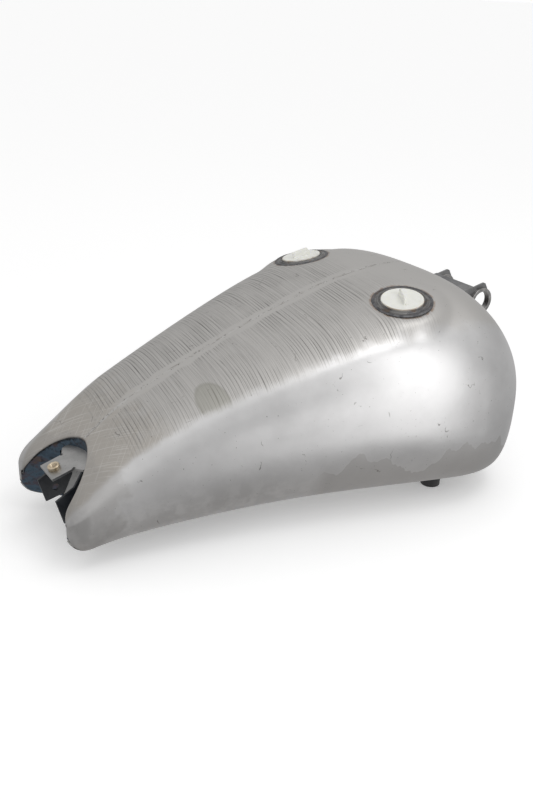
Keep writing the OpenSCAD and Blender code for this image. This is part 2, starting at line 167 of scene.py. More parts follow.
# Each list runs in even steps from tail to nose: heights of crown and waist, half widths of flank
# and rim, and how full the shoulder is
crown = [27, 77, 127, 172, 209, 240, 248, 236, 218]
flank = [69, 87, 106, 127, 154, 185, 207, 213, 211]
waist = [36, 57, 77, 94, 104, 105, 97, 88, 79]
rim = [71, 70, 68.5, 70, 81, 108, 141, 168, 192]
shoulder = [3.3, 3.4, 3.5, 3.5, 3.5, 3.3, 2.8, 2.3, 1.8]
under_turn = 2.4
notch_l, notch_w, notch_corner, notch_lip, notch_fullness = 51.5, 61, 8, 3, 1.7
tunnel_w, roof_z, roof_rise = 80, 64, math.radians(13.6)
filler_x, filler_y = 416, 104
filler_pitch, filler_roll = math.radians(9.5), math.radians(8)
right, left = -1, 1
lip_r = 1.8
lift_h, lift_r = 16, 26
hole_reach = 30
rows_n, upper_n, lower_n = 190, 66, 22


def side_name(side, rest):
    return ("right_" if side == right else "left_") + rest


def line_at(controls, x):
    """Smooth curve through evenly spaced controls, as a uniform B-spline."""
    c = np.array(controls, float)
    spans = len(c) - 3
    t = np.clip(np.asarray(x, float) / tank_l, 0, 0.99999) * spans
    i = t.astype(int)
    u = t - i
    return ((1 - u) ** 3 * c[i] + (3 * u**3 - 6 * u**2 + 4) * c[i + 1]
            + (-3 * u**3 + 3 * u**2 + 3 * u + 1) * c[i + 2] + u**3 * c[i + 3]) / 6


def round_end(t):
    return np.sqrt(1 - (1 - np.clip(t, 0, 1)) ** 2)


def station(x, depth=0.0):
    """Crown, half width, waist, rim half width and shoulder at x, drawn in by depth."""
    tail = round_end((x - depth) / tail_round)
    nose = round_end((tank_l - depth - x) / nose_round)
    tip = tip_r * (1 - round_end((x - depth) / tip_r))
    top = tail_z - depth + (line_at(crown, x) - tail_z) * tail
    wide = tail_w - depth - tip + (line_at(flank, x) - tail_w) * tail
    foot = tail_w - depth - tip + (line_at(rim, x) + depth - tail_w) * tail
    mid = tail_z - depth + (line_at(waist, x) - tail_z + depth) * tail
    half_w = nose_w - depth + (wide - nose_w + depth) * nose
    return (nose_z - depth + (top - nose_z + depth) * nose, half_w, mid,
            np.minimum(half_w, nose_w + (foot - nose_w) * nose), line_at(shoulder, x))


def skin_z(x, y, depth=0.0):
    top, half_w, mid, _, n = station(np.asarray(x, float), depth)
    across = np.clip(np.abs(y) / half_w, 0, 1)
    return mid + (top - mid) * (1 - across**n) ** (1 / n)


def rim_z(x):
    """Height of the bottom edge, which rises round the tail tips."""
    return lift_h * (1 - round_end(x / lift_r))


def section_point(column, x):
    """Half width and height of the skin in that column: 0 to 1 crown to waist, 1 to 2 to the rim."""
    top, half_w, mid, foot, n = station(x)
    low = rim_z(x)
    a = np.clip(column, 0, 1) * math.pi / 2
    r = (np.sin(a) ** n + np.cos(a) ** n) ** (-1 / n)
    b = np.clip(column - 1, 0, 1) * math.pi / 2
    q = (np.sin(b) ** under_turn + np.cos(b) ** under_turn) ** (-1 / under_turn)
    upper = column <= 1
    y = np.where(upper, half_w * r * np.sin(a), foot + (half_w - foot) * q * np.cos(b))
    z = np.where(upper, mid + (top - mid) * r * np.cos(a), mid - (mid - low) * q * np.sin(b))
    return y, np.clip(z, 0, None)


def notch_edge(x, grow):
    """Half width of the notch at x, grown outwards, with its corner rounded into the tail."""
    inside = np.clip(1 - np.clip(x / (notch_l + grow), 0, 1) ** notch_fullness, 0, 1)
    flare = notch_corner * (1 - round_end(x / notch_corner))
    return (notch_w + grow) * inside ** (1 / notch_fullness) + flare


def roof_at(x):
    return roof_z + (x - notch_l) * math.tan(roof_rise)


def between(low, high, is_past):
    """The place between low and high where is_past turns true, found by halving."""
    for _ in range(40):
        half = (low + high) / 2
        past = is_past(half)
        high = np.where(past, half, high)
        low = np.where(past, low, half)
    return (low + high) / 2


def filler_axis(side):
    """Matrix of a filler neck: its origin at the skin and its Z along the neck, in millimetres."""
    return (
        Matrix.Translation((filler_x, side * filler_y, float(skin_z(filler_x, filler_y))))
        @ Matrix.Rotation(-filler_pitch, 4, "Y")
        @ Matrix.Rotation(-side * filler_roll, 4, "X")
    )


def make_piece(name, points, faces, sharp_deg=32):
    """A shaded piece from points in millimetres from the tail and the rim; it stays in the CAD box."""
    place = np.array(points, float) * MM + np.array((tail_x, 0, base_z))
    place = np.clip(place, np.array(cad_box[0]) + 1e-5, np.array(cad_box[1]) - 1e-5)
    mesh = bpy.data.meshes.new(name)
    mesh.from_pydata([tuple(p) for p in place], [], faces)
    mesh.validate()
    mesh.shade_smooth()
    mesh.set_sharp_from_angle(angle=math.radians(sharp_deg))
    piece = bpy.data.objects.new(name, mesh)
    bpy.context.scene.collection.objects.link(piece)
    return piece


def thicken(piece, thickness_mm, sharp_deg=32):
    """Gives a sheet its thickness inwards, as real geometry."""
    wall = piece.modifiers.new("wall", "SOLIDIFY")
    wall.thickness = thickness_mm * MM
    wall.offset = -1
    wall.use_even_offset = True
    bpy.context.view_layer.update()
    solid = bpy.data.meshes.new_from_object(piece.evaluated_get(bpy.context.evaluated_depsgraph_get()))
    solid.name = piece.name
    piece.modifiers.clear()
    piece.data = solid
    solid.shade_smooth()
    solid.set_sharp_from_angle(angle=math.radians(sharp_deg))


def press_seat(points, side):
    """Flattens the skin round its filler hole, so that the neck's weld lies level all round."""
    seat_in, seat_out, flatness = 37, 62, 0.75
    axis = filler_axis(side)
    to_axis = axis.inverted()
    for i, p in enumerate(points):
        local = to_axis @ Vector(p)
        if local.xy.length < seat_out and abs(local.z) < hole_reach:
            share = min((seat_out - local.xy.length) / (seat_out - seat_in), 1)
            local.z *= 1 - flatness * share * share * (3 - 2 * share)
            points[i] = tuple(axis @ local)


def cut_hole(points, faces, axis, hole_r):
    """Opens a round hole about axis: cells inside it go, and its edge is drawn to a circle."""
    to_axis = axis.inverted()
    local = [to_axis @ Vector(p) for p in points]
    reach_r = [p.xy.length if abs(p.z) < hole_reach else math.inf for p in local]
    faces = [f for f in faces if not all(reach_r[v] < hole_r for v in f)]
    for v in {v for f in faces for v in f if reach_r[v] < hole_r}:
        local[v].xy *= hole_r / reach_r[v]
        points[v] = tuple(axis @ local[v])
    return faces


def drop_unused(points, faces):
    """Leaves out the points that no face uses, and gives the old numbers of the others."""
    used = sorted({v for f in faces for v in f})
    order = {v: i for i, v in enumerate(used)}
    return used, [points[v] for v in used], [tuple(order[v] for v in f) for f in faces]


def side_skin(side):
    """Half of the tank: a grid that starts on the notch's rolled edge and ends at the tunnel."""
    columns = np.concatenate([np.linspace(0, 1, upper_n + 1), np.linspace(1, 2, lower_n + 1)[1:]])
    zero = np.zeros_like(columns)
    full = np.full_like(columns, tank_l)
    start = between(zero, full * 0.3, lambda x: section_point(columns, x)[0] >= notch_edge(x, lip_r))
    starts_on_tail = (columns >= 1) | (section_point(columns, zero)[0] >= notch_edge(zero, lip_r))
    start = np.where(starts_on_tail, 0, np.maximum(start, 0))

    def in_tunnel(x):
        y, z = section_point(columns, x)
        return (y < tunnel_w / 2) & (z < roof_at(x)) & (columns <= 1)

    ends_on_nose = ~in_tunnel(full)
    end = np.where(ends_on_nose, tank_l, between(full / 2, full, in_tunnel))
    n = len(columns)
    points = []
    for row in range(rows_n + 1):
        x = start + (end - start) * (1 - math.cos(math.pi * row / rows_n)) / 2
        y, z = section_point(columns, x)
        points += [(x[j], side * y[j], z[j]) for j in range(n)]
    faces = [(i * n + j, (i + 1) * n + j, (i + 1) * n + j + 1, i * n + j + 1)
             for i in range(rows_n) for j in range(n - 1)]
    rounds = [columns[j] for _ in range(rows_n + 1) for j in range(n)]

    # Flat ends of the tail tip and of the nose, between the upper columns and the rim
    for row, there, flip in ((0, starts_on_tail, True), (rows_n, ends_on_nose, False)):
        top_row = [row * n + j for j in range(upper_n + 1) if there[j]]
        mid_z = points[row * n + upper_n][2]
        foot_z = points[row * n + n - 1][2]
        grid = [top_row]
        for k in range(1, lower_n + 1):
            outer = row * n + upper_n + k
            share = (points[outer][2] - foot_z) / (mid_z - foot_z)
            line = []
            for v in top_row[:-1]:
                line.append(len(points))
                points.append((points[v][0], points[v][1], foot_z + (points[v][2] - foot_z) * share))
                rounds.append(1 + k / lower_n)
            grid.append(line + [outer])
        for k in range(lower_n):
            for j in range(len(top_row) - 1):
                quad = (grid[k][j], grid[k][j + 1], grid[k + 1][j + 1], grid[k + 1][j])
                faces.append(quad if flip else quad[::-1])

    # Rolled edge at the notch: a quarter turn down towards the wall
    edge = [j for j in range(upper_n + 1) if not starts_on_tail[j]]
    ring = [Vector(points[j]) for j in edge]
    last = edge
    for turn in (30, 60, 90):
        a = math.radians(turn)
        line = []
        for k, j in enumerate(edge):
            along = ring[min(k + 1, len(ring) - 1)] - ring[max(k - 1, 0)]
            up = along.cross(Vector(points[j + n]) - ring[k])
            up = up if up.z > 0 else -up
            out = along.cross(up).normalized()
            out = out if out.dot(ring[k] - Vector(points[j + n])) > 0 else -out
            place = ring[k] + out * lip_r * math.sin(a) - up.normalized() * lip_r * (1 - math.cos(a))
            line.append(len(points))
            points.append((place.x, side * max(side * place.y, 0), place.z))
            rounds.append(columns[j])
        faces += [(line[k], last[k], last[k + 1], line[k + 1]) for k in range(len(edge) - 1)]
        last = line

    # Filler hole in its flat seat, hidden under the neck
    press_seat(points, side)
    faces = cut_hole(points, faces, filler_axis(side), 34)

    if side == right:
        faces = [f[::-1] for f in faces]
    used, points, faces = drop_unused(points, faces)
    piece = make_piece(side_name(side, "skin_sheet"), points, faces, 50)
    shape = piece.data.attributes.new("round", "FLOAT", "POINT")
    shape.data.foreach_set("value", np.array([rounds[v] for v in used], np.float32))
    thicken(piece, sheet_t, 50)
    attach(piece, "tank")
    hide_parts(side_name(side, "skin"))
    return piece


skins = [side_skin(side) for side in (right, left)]


def start_finish(name, metallic):
    """A new material and its shader, and a way to add nodes to it."""
    finish = bpy.data.materials.new(name)
    finish.use_nodes = True
    shader = finish.node_tree.nodes["Principled BSDF"]
    shader.inputs["Metallic"].default_value = metallic
    return finish, finish.node_tree, shader


def add(tree, kind, settings=None, **inputs):
    """Adds a node, sets its settings, and links or fills its inputs by name (spaces as _)."""
    made = tree.nodes.new("ShaderNode" + kind)
    for key, value in (settings or {}).items():
        setattr(made, key, value)
    for key, value in inputs.items():
        by_number = key[0] == "i" and key[1:].isdigit()
        socket = made.inputs[int(key[1:]) if by_number else key.replace("_", " ")]
        if isinstance(value, bpy.types.NodeSocket):
            tree.links.new(value, socket)
        else:
            socket.default_value = value
    return made.outputs[0]


def sums(tree, operation, a, b=0.0, c=0.0):
    return add(tree, "Math", {"operation": operation}, i0=a, i1=b, i2=c)


def times(tree, a, b):
    return sums(tree, "MULTIPLY", a, b)


def ramp(tree, value, low, high):
    """0 below low and 1 above high, soft between; low may be the larger."""
    return add(tree, "MapRange", {"interpolation_type": "SMOOTHSTEP"},
               Value=value, From_Min=low, From_Max=high)


def mix(tree, share, a, b):
    """Colour a where share is 0 and b where it is 1."""
    made = tree.nodes.new("ShaderNodeMix")
    made.data_type = "RGBA"
    for socket, value in ((made.inputs["Factor"], share), (made.inputs[6], a), (made.inputs[7], b)):
        if isinstance(value, bpy.types.NodeSocket):
            tree.links.new(value, socket)
        else:
            socket.default_value = value
    return made.outputs[2]


def grain(tree, vector, scale, detail=2.0, rough=0.5, distort=0.0):
    return add(tree, "TexNoise", Vector=vector, Scale=scale, Detail=detail, Roughness=rough,
               Distortion=distort)


def stretched(tree, x, y, z):
    return add(tree, "CombineXYZ", X=x, Y=y, Z=z)


def far_from(tree, vector, spot):
    """Distance of vector from a fixed spot."""
    made = tree.nodes.new("ShaderNodeVectorMath")
    made.operation = "DISTANCE"
    tree.links.new(vector, made.inputs[0])
    made.inputs[1].default_value = spot
    return made.outputs["Value"]


def places(tree):
    """Position in the tank's frame, and its x from the tail, y and z from the rim."""
    here = tree.nodes.new("ShaderNodeTexCoord").outputs["Object"]
    split = tree.nodes.new("ShaderNodeSeparateXYZ")
    tree.links.new(here, split.inputs[0])
    along = sums(tree, "SUBTRACT", split.outputs[0], tail_x)
    high = sums(tree, "SUBTRACT", split.outputs[2], base_z)
    return here, along, split.outputs[1], high


def relief(tree, shader, height, distance, strength=1.0):
    bump = tree.nodes.new("ShaderNodeBump")
    bump.inputs["Strength"].default_value = strength
    bump.inputs["Distance"].default_value = distance
    tree.links.new(height, bump.inputs["Height"])
    tree.links.new(bump.outputs[0], shader.inputs["Normal"])


# Bare sheet finish: draw marks run across the top from shoulder to shoulder, a sanded band
# follows the weld along the crown, the sides are polished by the die, and oil, rust and
# handling have left stains and scratches.
bare_sheet, tree, shader = start_finish("bare_sheet", 1.0)
here, along, across, high = places(tree)
round_at = tree.nodes.new("ShaderNodeAttribute")
round_at.attribute_name = "round"
turn = round_at.outputs["Fac"]
side_y = sums(tree, "ABSOLUTE", across)
filler_spot = (filler_x * MM, filler_y * MM, float(skin_z(filler_x, filler_y)) * MM)
cloud = grain(tree, here, 14.0, 4.0, 0.6)
patch = grain(tree, here, 45.0, 3.0, 0.6)

skew = sums(tree, "MULTIPLY_ADD", across, -0.12, along)
drift_vector = stretched(tree, times(tree, skew, 90.0), times(tree, across, 3.0), 0.0)
drift = grain(tree, drift_vector, 1.0, 3.0, 0.6)
mark_pitch = 0.0038
phase = sums(tree, "MULTIPLY_ADD", drift, 14.0, times(tree, skew, 2 * math.pi / mark_pitch))
marks = ramp(tree, sums(tree, "SINE", phase), 0.72, 0.99)
fine_vector = stretched(tree, times(tree, skew, 1500.0), times(tree, across, 12.0), 3.0)
fine_marks = ramp(tree, grain(tree, fine_vector, 1.0, 1.0), 0.55, 0.4)
strong_vector = stretched(tree, times(tree, along, 22.0), times(tree, across, 14.0), 1.0)
strong = ramp(tree, grain(tree, strong_vector, 1.0, 2.0), 0.36, 0.6)
ragged = sums(tree, "MULTIPLY_ADD", patch, 0.10, -0.05)
on_top = ramp(tree, sums(tree, "ADD", turn, ragged), 0.56, 0.47)
off_band = ramp(tree, sums(tree, "ADD", side_y, times(tree, ragged, 0.14)), 0.008, 0.0125)
past_tail = ramp(tree, sums(tree, "ADD", along, times(tree, ragged, 0.3)), 0.062, 0.10)
before_nose = ramp(tree, sums(tree, "ADD", along, times(tree, ragged, 0.5)), 0.46, 0.37)
zone = times(tree, times(tree, on_top, off_band), times(tree, past_tail, before_nose))
drawn = times(tree, zone, sums(tree, "ADD", times(tree, marks, strong), times(tree, fine_marks, 0.4)))

oval_x, oval_y, oval_l, oval_w = 0.168, -0.091, 0.018, 0.036
oval_vector = stretched(tree, sums(tree, "DIVIDE", along, oval_l), sums(tree, "DIVIDE", across, oval_w), 0.0)
oval_far = far_from(tree, oval_vector, (oval_x / oval_l, oval_y / oval_w, 0))
oval_stain = ramp(tree, sums(tree, "ADD", oval_far, times(tree, ragged, 2.0)), 1.0, 0.8)
oval_stain = times(tree, oval_stain, on_top)
oval_rim = times(tree, oval_stain, ramp(tree, oval_far, 0.72, 0.92))

tide_vector = stretched(tree, times(tree, along, 26.0), 0.0, times(tree, high, 5.0))
tide = sums(tree, "MULTIPLY_ADD", grain(tree, tide_vector, 1.0, 3.0, 0.5), 0.10, 0.008)
wet = ramp(tree, sums(tree, "SUBTRACT", tide, high), -0.0008, 0.0008)
wet = times(tree, wet, ramp(tree, along, 0.27, 0.30))
tail_stain = ramp(tree, sums(tree, "SUBTRACT", times(tree, cloud, 0.09), along), -0.004, 0.004)
dull = sums(tree, "MAXIMUM", times(tree, wet, 0.8), times(tree, tail_stain, 0.7))

low_dark = times(tree, ramp(tree, high, 0.075, 0.03), ramp(tree, along, 0.33, 0.2))
smudge = times(tree, low_dark, ramp(tree, patch, 0.35, 0.6))

wander = stretched(tree, times(tree, cloud, 0.06), 0.0, times(tree, patch, 0.03))
crack_vector = add(tree, "VectorMath", {"operation": "ADD"}, i0=here, i1=wander)
crack = add(tree, "TexVoronoi", {"feature": "DISTANCE_TO_EDGE"}, Scale=26.0, Vector=crack_vector)
scratch = times(tree, ramp(tree, crack, 0.012, 0.004), ramp(tree, patch, 0.60, 0.66))
speck = ramp(tree, grain(tree, here, 420.0, 1.0), 0.76, 0.80)
near_seam = times(tree, ramp(tree, side_y, 0.0045, 0.001), on_top)
pits = times(tree, ramp(tree, grain(tree, here, 330.0, 1.0), 0.66, 0.70), near_seam)
nicks = sums(tree, "MAXIMUM", sums(tree, "MAXIMUM", scratch, speck), pits)
tail_top = times(tree, on_top, ramp(tree, sums(tree, "ADD", along, ragged), 0.13, 0.07))
hatch = 0.0
for way in (math.radians(38), math.radians(-47)):
    u = sums(tree, "MULTIPLY_ADD", along, math.cos(way), times(tree, across, math.sin(way)))
    v = sums(tree, "MULTIPLY_ADD", across, math.cos(way), times(tree, along, -math.sin(way)))
    lines = stretched(tree, times(tree, u, 800.0), times(tree, v, 16.0), way)
    hatch = sums(tree, "MAXIMUM", hatch, ramp(tree, grain(tree, lines, 1.0, 1.0), 0.60, 0.68))
hatch = times(tree, hatch, tail_top)
low_edge = ramp(tree, high, 0.0045, 0.0015)

brush = 1300.0
brush_vector = stretched(tree, times(tree, along, 60.0), times(tree, across, brush), times(tree, high, brush))
brushed = grain(tree, brush_vector, 1.0, 2.0)
filler_far = far_from(tree, stretched(tree, along, side_y, high), filler_spot)
rust_edge = sums(tree, "ADD", filler_far, times(tree, ragged, 0.03))
rust_patch = ramp(tree, grain(tree, here, 160.0, 2.0), 0.38, 0.55)
rust = times(tree, ramp(tree, rust_edge, 0.0402, 0.0375), rust_patch)

steel = mix(tree, ramp(tree, cloud, 0.3, 0.7), (0.585, 0.58, 0.58, 1), (0.67, 0.665, 0.665, 1))
steel = mix(tree, times(tree, on_top, 0.85), steel, (0.52, 0.505, 0.485, 1))
steel = mix(tree, times(tree, tail_top, 0.6), steel, (0.44, 0.405, 0.36, 1))
steel = mix(tree, times(tree, hatch, 0.45), steel, (0.70, 0.69, 0.67, 1))
steel = mix(tree, times(tree, drawn, 0.7), steel, (0.20, 0.195, 0.185, 1))
steel = mix(tree, times(tree, low_edge, 0.6), steel, (0.16, 0.16, 0.16, 1))
steel = mix(tree, times(tree, oval_stain, 0.5), steel, (0.36, 0.355, 0.31, 1))
steel = mix(tree, times(tree, oval_rim, 0.3), steel, (0.24, 0.235, 0.21, 1))
steel = mix(tree, times(tree, dull, 0.55), steel, (0.40, 0.385, 0.37, 1))
steel = mix(tree, times(tree, smudge, 0.22), steel, (0.20, 0.20, 0.20, 1))
steel = mix(tree, times(tree, nicks, 0.7), steel, (0.13, 0.12, 0.11, 1))
steel = mix(tree, times(tree, rust, 0.6), steel, (0.27, 0.16, 0.09, 1))
tree.links.new(steel, shader.inputs["Base Color"])
rough = sums(tree, "MULTIPLY_ADD", cloud, 0.10, 0.27)
rough = sums(tree, "MULTIPLY_ADD", on_top, 0.12, rough)
rough = sums(tree, "MULTIPLY_ADD", dull, 0.10, rough)
rough = sums(tree, "MULTIPLY_ADD", oval_stain, 0.10, rough)
tree.links.new(rough, shader.inputs["Roughness"])
height = sums(tree, "MULTIPLY_ADD", drawn, -0.7, times(tree, brushed, 0.25))
height = sums(tree, "MULTIPLY_ADD", nicks, -0.6, height)
relief(tree, shader, height, 0.00012)
for skin in skins:
    skin.data.materials.append(bare_sheet)

# Crown weld: one bead joins the two skins from the notch to the nose. It is ground almost flush,
# so it shows as a smooth, lighter line with small pits left along its middle.


def face_outwards(piece):
    """Turns all faces of a closed piece outwards."""
    shell = bmesh.new()
    shell.from_mesh(piece.data)
    bmesh.ops.recalc_face_normals(shell, faces=shell.faces)
    shell.to_mesh(piece.data)
    shell.free()


def woven(name, rows, sharp_deg=32):
    """A closed piece swept through rings of points, with flat ends."""
    n = len(rows[0])
    points = [p for row in rows for p in row]
    faces = [(i * n + j, i * n + (j + 1) % n, (i + 1) * n + (j + 1) % n, (i + 1) * n + j)
             for i in range(len(rows) - 1) for j in range(n)]
    faces += [tuple(range(n)), tuple(range(len(points) - n, len(points)))]
    piece = make_piece(name, points, faces, sharp_deg)
    face_outwards(piece)
    return piece


def belongs(piece, body, finish_slot, *nodes):
    """The piece rides on body and stands for these CAD nodes; finish_slot is not used."""
    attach(piece, body)
    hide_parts(*nodes)
    return piece


def seam_ring(x):
    """Ring of the bead at x: a low hump over the skins and a foot just under them."""
    half_w = 3.1 + 0.6 * noise.noise((x * 0.11, 0, 0)) + 0.3 * noise.noise((x * 0.5, 4, 0))
    hump = [(k / 4, 0.06 * (1 - (k / 4) ** 2) - 0.03) for k in range(-4, 5)]
    foot = [(0.8, -0.6), (-0.8, -0.6)]
    step = 0.1
    ring = []
    for share, proud in hump + foot:
        y = half_w * share
        slope_x = float(skin_z(x + step, y) - skin_z(x - step, y)) / (2 * step)
        slope_y = float(skin_z(x, y + step) - skin_z(x, y - step)) / (2 * step)
        out = Vector((-slope_x, -slope_y, 1)).normalized() * proud
        ring.append((x + out.x, y + out.y, float(skin_z(x, y)) + out.z))
    return ring


seam_from, seam_to = notch_l + lip_r, tank_l - 0.6
seam_steps = 420
seam = woven("crown_bead", [
    seam_ring(seam_from + (seam_to - seam_from) * (1 - math.cos(math.pi * k / seam_steps)) / 2)
    for k in range(seam_steps + 1)
])
belongs(seam, "tank", "ground_weld", "top_seam_weld")
ground_weld, tree, shader = start_finish("ground_weld", 1.0)
here, along, across, high = places(tree)
cloud = grain(tree, here, 30.0, 4.0, 0.6)
pit = ramp(tree, grain(tree, here, 360.0, 2.0), 0.60, 0.67)
dash_vector = stretched(tree, times(tree, along, 50.0), times(tree, across, 260.0), 0.0)
dash = grain(tree, dash_vector, 1.0, 3.0, 0.6)
streak = ramp(tree, dash, 0.52, 0.66)
bead = mix(tree, ramp(tree, cloud, 0.3, 0.7), (0.49, 0.475, 0.455, 1), (0.58, 0.57, 0.555, 1))
bead = mix(tree, times(tree, streak, 0.65), bead, (0.25, 0.225, 0.20, 1))
bead = mix(tree, times(tree, pit, 0.75), bead, (0.11, 0.10, 0.09, 1))
tree.links.new(bead, shader.inputs["Base Color"])
tree.links.new(sums(tree, "MULTIPLY_ADD", cloud, 0.2, 0.30), shader.inputs["Roughness"])
relief(tree, shader, sums(tree, "MULTIPLY_ADD", pit, -1.0, times(tree, cloud, 0.4)), 0.00015)
seam.data.materials.append(ground_weld)

# Frame tunnel and floors: folded from the same sheet, inside and under the tank. They never see
# the polishing wheel, so they keep the mill's dull grey with weld smoke and finger marks.
hidden_gap = 0.1
spigot_x, spigot_y, collar_r = 486, 119, 13.5


def tank_floor(side):
    """Bottom plate of one leg: it follows the lifted tail tip and has a hole for its spigot."""
    inset = sheet_t + hidden_gap
    along_n, across_n = 169, 26
    points = []
    for x in np.linspace(inset, tank_l - inset, along_n + 1):
        wall = notch_lip + inset
        inner = max(tunnel_w / 2, float(notch_edge(x, wall))) if x < notch_l + wall else tunnel_w / 2
        outer = float(station(x)[3]) - inset - hidden_gap
        points += [(x, side * (inner + (outer - inner) * k / across_n), float(rim_z(x)))
                   for k in range(across_n + 1)]
    n = across_n + 1
    faces = [(i * n + j, i * n + j + 1, (i + 1) * n + j + 1, (i + 1) * n + j)
             for i in range(along_n) for j in range(across_n)]
    faces = cut_hole(points, faces, Matrix.Translation((spigot_x, side * spigot_y, 0)), collar_r)
    if side == left:
        faces = [f[::-1] for f in faces]
    _, points, faces = drop_unused(points, faces)
    piece = make_piece(side_name(side, "floor_plate"), points, faces)
    thicken(piece, sheet_t)
    return belongs(piece, "tank", "inner_sheet", side_name(side, "floor"))


def soften(piece, width_mm, edge_finish=0):
    """Rounds the sharp edges of a piece; edge_finish is the material slot of the rounded edge."""
    edge = piece.modifiers.new("edge", "BEVEL")
    edge.width = width_mm * MM
    edge.segments = 2
    edge.limit_method = "ANGLE"
    edge.angle_limit = math.radians(35)
    if edge_finish:
        edge.material = edge_finish


def mottled(name, metallic, dark, light, scale, rough, spread, depth_mm):
    """A finish of two shades in soft patches, with fine grain; returns what its details need."""
    made, tree, shader = start_finish(name, metallic)
    here, along, across, high = places(tree)
    cloud = grain(tree, here, scale, 5.0, 0.6)
    fine = grain(tree, here, scale * 14, 3.0, 0.6)
    shade = mix(tree, ramp(tree, cloud, 0.32, 0.68), dark, light)
    shade = mix(tree, times(tree, ramp(tree, fine, 0.58, 0.70), 0.35), shade,
                tuple(c * 0.4 for c in dark[:3]) + (1,))
    tree.links.new(shade, shader.inputs["Base Color"])
    tree.links.new(sums(tree, "MULTIPLY_ADD", cloud, spread, rough), shader.inputs["Roughness"])
    relief(tree, shader, sums(tree, "MULTIPLY_ADD", fine, 0.6, cloud), depth_mm * MM)
    return made, tree, shader, shade


def repaint(node, finish):
    """Gives a CAD node that keeps its shape a better finish."""
    node.data.materials.clear()
    node.data.materials.append(finish)


inner_sheet = mottled("inner_sheet", 1.0, (0.30, 0.30, 0.30, 1), (0.46, 0.455, 0.44, 1),
                      scale=22.0, rough=0.34, spread=0.24, depth_mm=0.1)[0]
for side in (right, left):
    tank_floor(side).data.materials.append(inner_sheet)
repaint(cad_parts["frame_tunnel"], inner_sheet)

# Rim welds: a bead along the lower edge seals each floor to its skin. It is left as laid, dark
# and rippled, because it can't be seen once the tank is on its frame.


def rim_weld(side):
    ripple_pitch, end_gap, half_w, drop, root = 2.6, 3, 1.85, 0.88, 0.3
    rows = []
    steps = 1000
    for k in range(steps + 1):
        x = end_gap + (tank_l - 2 * end_gap) * k / steps
        y = float(station(x)[3]) - 0.65
        z = float(rim_z(x))
        wobble = 0.12 * noise.noise((x * 0.3, side, 0))
        ripple = 0.72 + 0.2 * abs(math.sin(math.pi * x / ripple_pitch)) + wobble
        ring = [(x, side * (y + half_w * math.cos(t)), z - drop * ripple * math.sin(t))
                for t in np.linspace(0, math.pi, 8)]
        rows.append(ring + [(x, side * (y - 1.7), z + root), (x, side * (y + 1.2), z + root)])
    bead = woven(side_name(side, "rim_bead"), rows, 60)
    return belongs(bead, "tank", "raw_weld", side_name(side, "rim_weld"))


raw_weld, tree, shader, shade = mottled("raw_weld", 0.85, (0.07, 0.07, 0.075, 1), (0.16, 0.16, 0.165, 1),
                                        scale=150.0, rough=0.30, spread=0.22, depth_mm=0.12)
here = places(tree)[0]
burn = ramp(tree, grain(tree, here, 60.0, 3.0), 0.50, 0.64)
shade = mix(tree, times(tree, burn, 0.3), shade, (0.16, 0.085, 0.045, 1))
tree.links.new(shade, shader.inputs["Base Color"])
for side in (right, left):
    rim_weld(side).data.materials.append(raw_weld)

# Notch wall: an upright strip bent round the seat notch and set back under the skins' edge. The
# welding heat has run blue and straw brown over it; a near-black jagged band along its top is
# painted shadow under the skins' edge. Its bead is rough and was never dressed.


def notch_point(grow, a):
    """Point of the notch's outline, grown outwards, at the angle a from its apex."""
    e = 2 / notch_fullness
    x = (notch_l + grow) * max(math.cos(a), 0) ** e
    flare = notch_corner * (1 - float(round_end(x / notch_corner)))
    return x, math.copysign((notch_w + grow) * abs(math.sin(a)) ** e + flare, a)


def under_skin(x, y):
    return float(skin_z(x, y, sheet_t)) - hidden_gap


mouth_a = math.radians(90)
tunnel_a = float(between(0.0, mouth_a, lambda a: notch_point(notch_lip, float(a))[1] > tunnel_w / 2))
levels = 9
points, faces, rises = [], [], []
for first, last_a, count in ((-mouth_a, -tunnel_a, 60), (-tunnel_a, tunnel_a, 80), (tunnel_a, mouth_a, 60)):
    base = len(points)
    in_middle = first == -tunnel_a
    for k in range(count + 1):
        x, y = notch_point(notch_lip, first + (last_a - first) * k / count)
        top = under_skin(x, y)
        bottom = roof_at(x) if in_middle else float(rim_z(x))
        points += [(x, y, bottom + (top - bottom) * j / levels) for j in range(levels + 1)]
        rises += [(top - bottom) * (1 - j / levels) for j in range(levels + 1)]
    n = levels + 1
    faces += [(base + i * n + j, base + i * n + j + 1, base + (i + 1) * n + j + 1, base + (i + 1) * n + j)
              for i in range(count) for j in range(levels)]
wall = make_piece("notch_wall_sheet", points, faces)
drop = wall.data.attributes.new("below_bead", "FLOAT", "POINT")
drop.data.foreach_set("value", np.array(rises, np.float32))
thicken(wall, sheet_t)
belongs(wall, "tank", "heat_tinted_sheet", "notch_wall")
tint_and_shadow_finish, tree, shader = start_finish("heat_tinted_sheet", 1.0)
here, along, across, high = places(tree)
heat_vector = stretched(tree, times(tree, along, 30.0), times(tree, across, 30.0), times(tree, high, 55.0))
heat = grain(tree, heat_vector, 1.0, 4.0, 0.6)
colours = tree.nodes.new("ShaderNodeValToRGB")
stops = colours.color_ramp.elements
stops[0].position = 0.26
stops[0].color = (0.07, 0.075, 0.085, 1)
stops[1].position = 0.76
stops[1].color = (0.12, 0.115, 0.11, 1)
for where, tint in (
    (0.38, (0.07, 0.095, 0.125, 1)),
    (0.47, (0.09, 0.13, 0.17, 1)),
    (0.55, (0.10, 0.085, 0.10, 1)),
    (0.62, (0.15, 0.115, 0.085, 1)),
):
    stops.new(where).color = tint
tree.links.new(heat, colours.inputs["Fac"])
soot = grain(tree, here, 210.0, 3.0, 0.6)
sooty = times(tree, ramp(tree, soot, 0.52, 0.68), 0.6)
tint_and_shadow_colour = mix(tree, sooty, colours.outputs[0], (0.04, 0.04, 0.04, 1))
